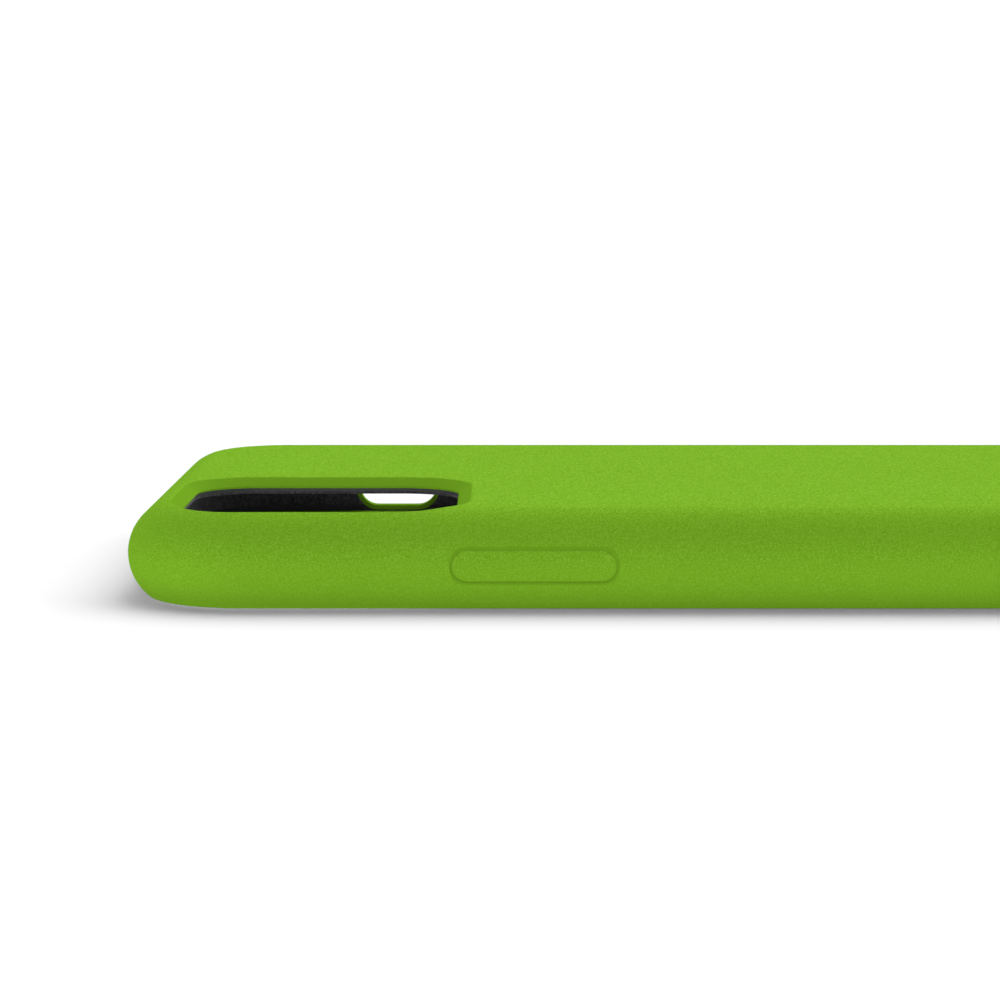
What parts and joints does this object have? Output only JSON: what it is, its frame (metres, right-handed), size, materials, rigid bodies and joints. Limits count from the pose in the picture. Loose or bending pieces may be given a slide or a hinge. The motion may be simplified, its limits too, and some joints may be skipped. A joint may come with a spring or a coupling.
{
  "type": "phone case",
  "caption": "Soft-touch silicone case for a two-lens phone, with a bevelled camera opening, a rigid inner frame, a microfibre lining and side buttons that press in.",
  "frame": {"origin": "centre of the case's footprint, on the surface that the open front lies on", "axes": "+X along the phone towards its charging end, +Y towards the volume buttons, +Z out of the back of the case"},
  "size_m": [0.1548, 0.0796, 0.011],
  "materials": {
    "silicone": "fine matt grain, soft touch",
    "button_silicone": "fine matt grain, soft touch",
    "frame_plastic": "moulded satin",
    "pusher_plastic": "moulded satin",
    "microfibre": "short nap"
  },
  "bodies": {
    "case": {"silicone_shell": "silicone", "rigid_frame": "frame_plastic", "back_lining": "microfibre", "power_side_lining": "microfibre", "volume_side_lining": "microfibre", "top_end_lining": "microfibre", "bottom_end_lining": "microfibre"},
    "power_button": {"power_button_cap": "button_silicone", "power_button_pusher": "pusher_plastic"},
    "volume_up_button": {"volume_up_cap": "button_silicone", "volume_up_pusher": "pusher_plastic"},
    "volume_down_button": {"volume_down_cap": "button_silicone", "volume_down_pusher": "pusher_plastic"}
  },
  "joints": [
    {"name": "power_press", "type": "slide", "parent": "case", "child": "power_button", "axis": [0, 1, 0], "range_m": [0, 0.00035], "stiffness_N_per_m": 1500},
    {"name": "volume_up_press", "type": "slide", "parent": "case", "child": "volume_up_button", "axis": [0, -1, 0], "range_m": [0, 0.00035], "stiffness_N_per_m": 1500},
    {"name": "volume_down_press", "type": "slide", "parent": "case", "child": "volume_down_button", "axis": [0, -1, 0], "range_m": [0, 0.00035], "stiffness_N_per_m": 1500}
  ]
}
